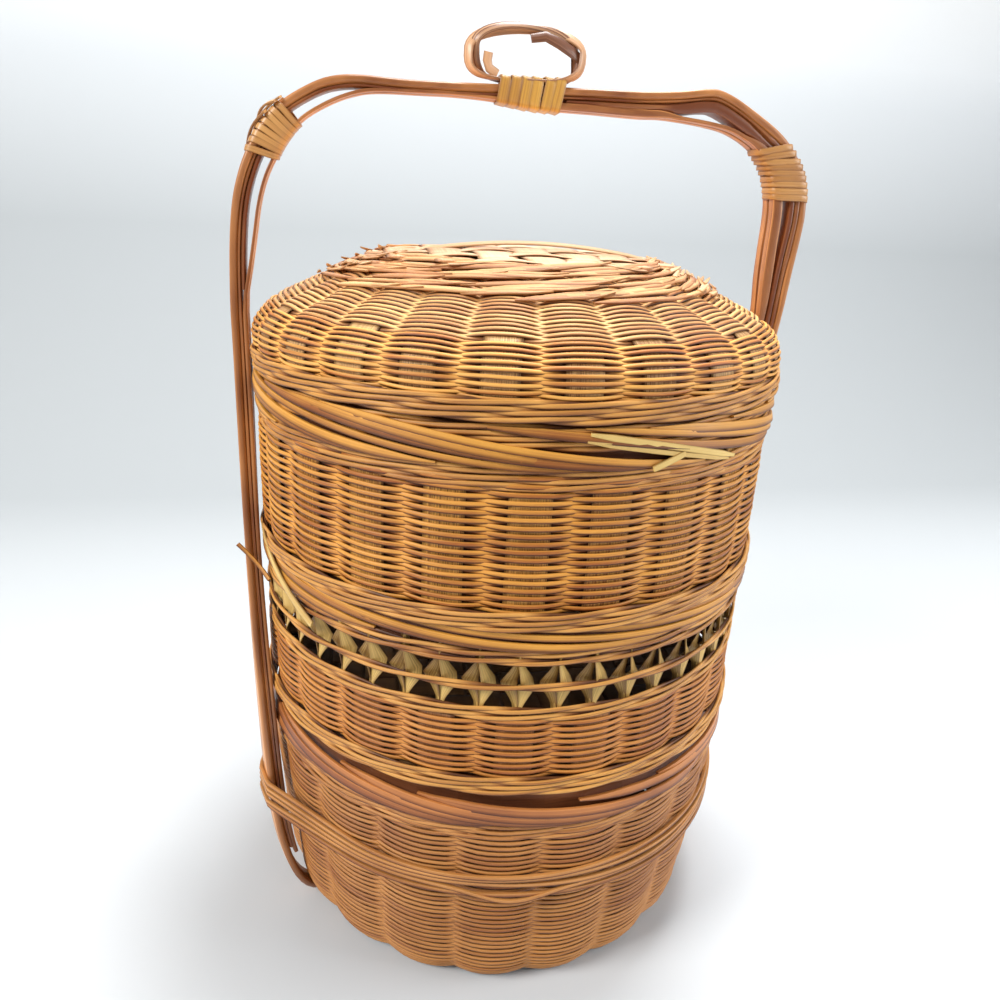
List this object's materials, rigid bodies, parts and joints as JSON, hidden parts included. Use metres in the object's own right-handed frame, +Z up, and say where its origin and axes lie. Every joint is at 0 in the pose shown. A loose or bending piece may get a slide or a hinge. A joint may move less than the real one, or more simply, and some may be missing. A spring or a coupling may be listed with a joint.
{
  "type": "tiered bamboo food basket",
  "caption": "Stack of nesting woven bamboo trays with a domed lid, held in a bent bamboo carrying frame with a bound arched handle and a hanging ring.",
  "frame": {"origin": "middle of the base, on the surface that the basket stands on", "axes": "+Z up through the stacked trays; +X along the handle to its right-hand shoulder; +Y to the back"},
  "size_m": [0.2602, 0.2428, 0.4127],
  "materials": {
    "woven_cane": "varnished split cane, close weave",
    "pale_splint": "bare pale bamboo splints, semi-matt",
    "rim_splint": "varnished flat bamboo splints",
    "frame_bamboo": "dark varnished bamboo strips, satin",
    "binding_cane": "golden flat cane, satin"
  },
  "bodies": {
    "frame_and_base": {"bottom_wall": "woven_cane", "bottom_floor": "woven_cane", "bottom_rim_splint_1": "rim_splint", "bottom_rim_splint_2": "rim_splint", "bottom_collar": "rim_splint", "waist_cord_upper": "woven_cane", "waist_cord_lower": "woven_cane", "frame_outer_strip": "frame_bamboo", "frame_middle_strip": "frame_bamboo", "frame_inner_strip": "frame_bamboo", "left_shoulder_binding": "binding_cane", "right_shoulder_binding": "binding_cane", "centre_binding": "binding_cane", "hanging_ring": "binding_cane"},
    "middle_tray": {"middle_wall": "woven_cane", "middle_floor": "woven_cane", "middle_skirt": "woven_cane", "middle_openwork": "pale_splint", "openwork_lower_twine": "woven_cane", "openwork_middle_twine": "woven_cane", "openwork_upper_twine": "woven_cane", "middle_rim_splint_1": "rim_splint", "middle_rim_splint_2": "rim_splint", "middle_collar": "rim_splint"},
    "top_tray": {"top_wall": "woven_cane", "top_floor": "woven_cane", "top_skirt": "woven_cane", "top_rim_splint_1": "rim_splint", "top_rim_splint_2": "rim_splint", "top_collar": "rim_splint"},
    "lid": {"lid_wall": "woven_cane", "lid_dome": "woven_cane", "lid_skirt": "woven_cane", "lid_ledge": "rim_splint", "crown_lower_splint_1": "pale_splint", "crown_lower_splint_2": "pale_splint", "crown_lower_splint_3": "pale_splint", "crown_lower_splint_4": "pale_splint", "crown_lower_splint_5": "pale_splint", "crown_lower_splint_6": "pale_splint", "crown_lower_splint_7": "pale_splint", "crown_upper_splint_1": "pale_splint", "crown_upper_splint_2": "pale_splint", "crown_upper_splint_3": "pale_splint", "crown_upper_splint_4": "pale_splint", "crown_upper_splint_5": "pale_splint", "crown_upper_splint_6": "pale_splint", "crown_upper_splint_7": "pale_splint"}
  },
  "joints": [
    {"name": "middle_tray_lift", "type": "slide", "parent": "frame_and_base", "child": "middle_tray", "axis": [0, 0, 1], "range_m": [0, 0.01]},
    {"name": "top_tray_lift", "type": "slide", "parent": "middle_tray", "child": "top_tray", "axis": [0, 0, 1], "range_m": [0, 0.01]},
    {"name": "lid_lift", "type": "slide", "parent": "top_tray", "child": "lid", "axis": [0, 0, 1], "range_m": [0, 0.01]}
  ]
}
